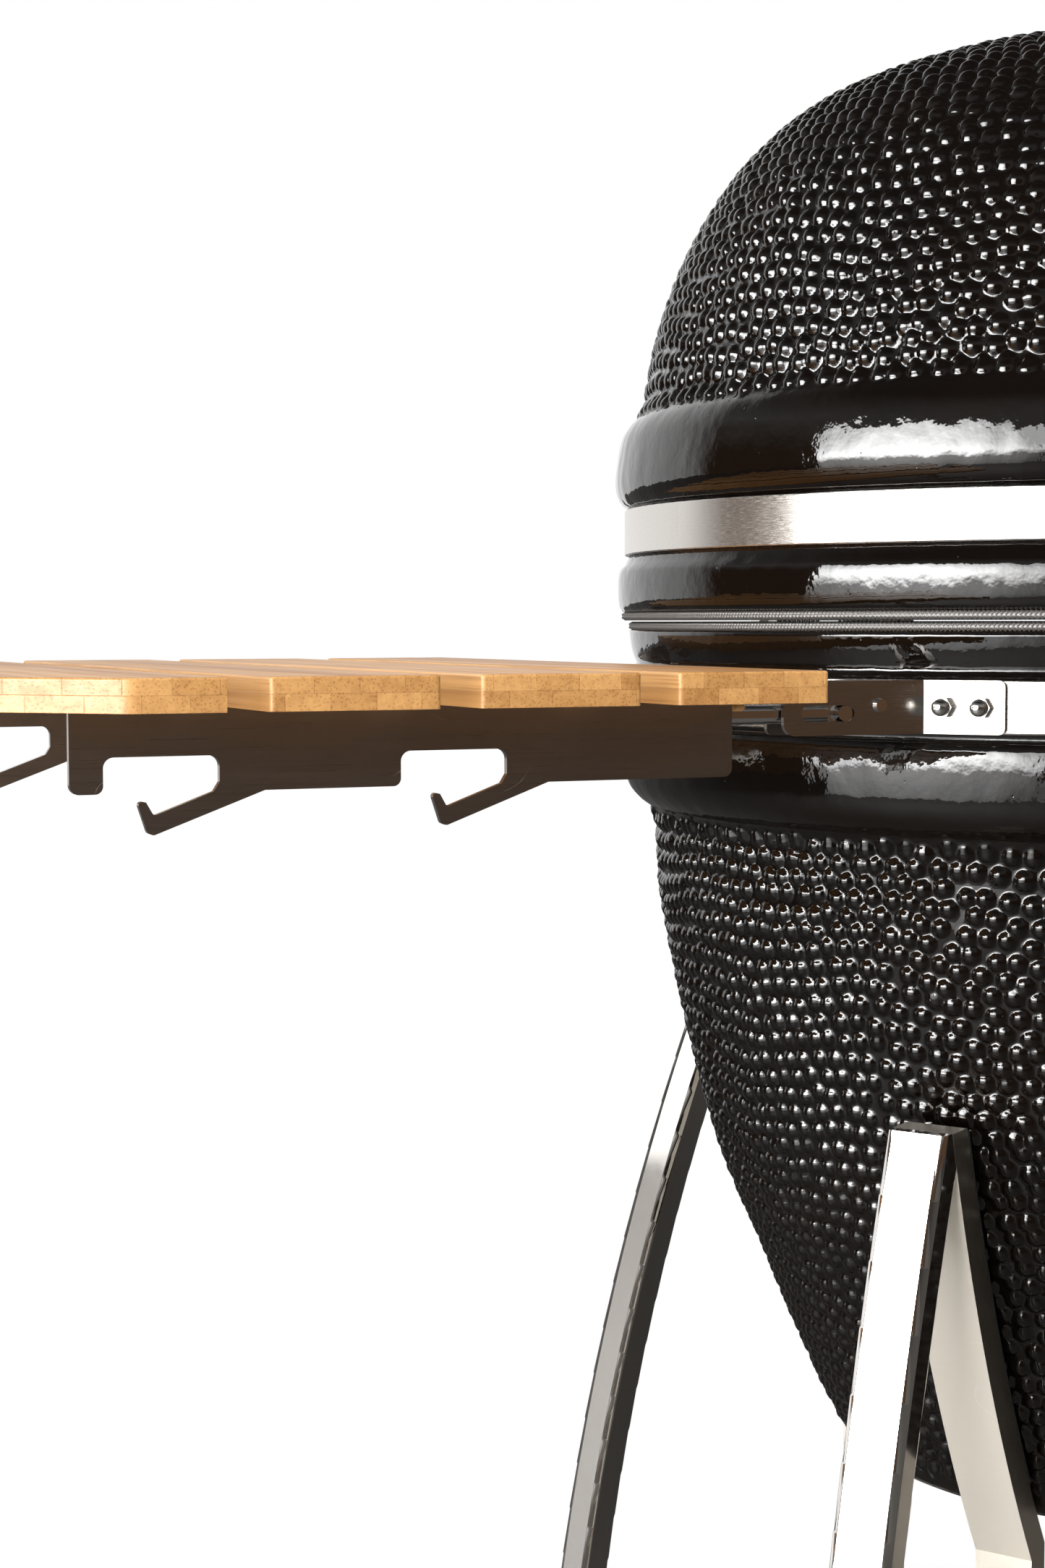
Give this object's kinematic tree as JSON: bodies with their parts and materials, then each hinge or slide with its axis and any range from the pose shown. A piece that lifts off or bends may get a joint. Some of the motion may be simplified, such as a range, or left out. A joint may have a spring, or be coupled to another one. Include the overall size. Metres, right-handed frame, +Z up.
{
  "type": "kamado ceramic grill",
  "caption": "Kamado ceramic grill with a hinged bead-glazed lid, steel bands, chimney damper, draft door, tube stand and pull-out fold-down bamboo side shelves with tool hooks.",
  "frame": {"origin": "on the floor, midway between the four feet and under the axis of the ceramic body", "axes": "+Z up, -Y the front with the handle and draft door, +X the right-hand shelf"},
  "size_m": [1.38, 0.704, 1.2824],
  "materials": {
    "glazed_black": "glossy black glaze over raised beads",
    "gasket_mesh": "braided wire-mesh cord",
    "brushed_band": "brushed along its length",
    "fire_clay": "unglazed, matt",
    "cast_iron": "black, slightly rough",
    "grate_steel": "satin",
    "brushed_plate": "fine brushed sheet",
    "bright_fastener": "bright",
    "spring_steel": "oiled",
    "dial_face": "satin white",
    "needle_red": "satin red",
    "dial_glass": "clear",
    "pad_felt": "pressed heat felt",
    "foot_rubber": "matt",
    "cross_steel": "satin",
    "polished_tube": "mirror polished stainless",
    "bamboo": "oiled laminated bamboo",
    "bamboo_grip": "oiled laminated bamboo"
  },
  "bodies": {
    "base": {"acorn_nuts": "bright_fastener", "base_gasket": "gasket_mesh", "base_shell": "glazed_black", "charcoal_grate": "cast_iron", "clevis_plates": "brushed_plate", "cradle_front_left": "polished_tube", "cradle_front_right": "polished_tube", "cradle_pads": "pad_felt", "cradle_rear_left": "polished_tube", "cradle_rear_right": "polished_tube", "cross_bars": "cross_steel", "draft_frame": "brushed_plate", "draft_screen": "brushed_plate", "draft_screws": "bright_fastener", "fire_box": "fire_clay", "fire_ring": "fire_clay", "foot_plugs": "foot_rubber", "hinge_base_bracket": "brushed_plate", "hinge_pin": "bright_fastener", "hinge_springs": "spring_steel", "leg_front_left": "polished_tube", "leg_front_right": "polished_tube", "leg_rear_left": "polished_tube", "leg_rear_right": "polished_tube", "lower_band": "brushed_band", "spacer_screws": "bright_fastener", "strap_left_front": "brushed_band", "strap_left_rear": "brushed_band", "strap_right_front": "brushed_band", "strap_right_rear": "brushed_band"},
    "lid": {"lid_shell": "glazed_black", "lid_gasket": "gasket_mesh", "upper_band": "brushed_band", "handle_posts": "brushed_plate", "handle_grip": "bamboo_grip", "hinge_lid_bracket": "brushed_plate", "damper_body": "cast_iron", "thermometer_housing": "brushed_plate", "thermometer_dial": "dial_face", "thermometer_lens": "dial_glass", "lid_nuts": "bright_fastener"},
    "needle": {"thermometer_needle": "needle_red"},
    "damper": {"damper_cap": "cast_iron"},
    "draft_door": {"draft_door": "brushed_plate"},
    "cooking_grate": {"cooking_grate": "grate_steel"},
    "left_shelf_pins": {"left_pins": "bright_fastener"},
    "right_shelf_pins": {"right_pins": "bright_fastener"},
    "left_shelf": {"left_hook_plate_front": "brushed_plate", "left_hook_plate_rear": "brushed_plate", "left_rods": "bright_fastener", "left_slat_1": "bamboo", "left_slat_2": "bamboo", "left_slat_3": "bamboo", "left_slat_4": "bamboo"},
    "right_shelf": {"right_hook_plate_front": "brushed_plate", "right_hook_plate_rear": "brushed_plate", "right_rods": "bright_fastener", "right_slat_1": "bamboo", "right_slat_2": "bamboo", "right_slat_3": "bamboo", "right_slat_4": "bamboo"}
  },
  "joints": [
    {"name": "lid_hinge", "type": "hinge", "parent": "base", "child": "lid", "pos_m": [0, 0.341, 0.905], "axis": [-1, 0, 0], "range_deg": [0, 75]},
    {"name": "needle_turn", "type": "hinge", "parent": "lid", "child": "needle", "pos_m": [0, -0.2568, 1.09], "axis": [0, 0.9272, -0.3746], "range_deg": [0, 270]},
    {"name": "damper_swing", "type": "hinge", "parent": "lid", "child": "damper", "pos_m": [0, 0.039, 1.252], "axis": [0, 0, 1], "range_deg": [0, 100]},
    {"name": "draft_door_slide", "type": "slide", "parent": "base", "child": "draft_door", "axis": [-1, 0, 0], "range_m": [0, 0.118]},
    {"name": "grate_lift", "type": "slide", "parent": "base", "child": "cooking_grate", "axis": [0, 0, 1], "range_m": [0, 0.04]},
    {"name": "left_shelf_slide", "type": "slide", "parent": "base", "child": "left_shelf_pins", "axis": [-1, 0, 0], "range_m": [0, 0.018]},
    {"name": "left_shelf_fold", "type": "hinge", "parent": "left_shelf_pins", "child": "left_shelf", "pos_m": [-0.28, 0, 0.8575], "axis": [0, -1, 0], "range_deg": [0, 75]},
    {"name": "right_shelf_slide", "type": "slide", "parent": "base", "child": "right_shelf_pins", "axis": [1, 0, 0], "range_m": [0, 0.018]},
    {"name": "right_shelf_fold", "type": "hinge", "parent": "right_shelf_pins", "child": "right_shelf", "pos_m": [0.28, 0, 0.8575], "axis": [0, 1, 0], "range_deg": [0, 75]}
  ]
}
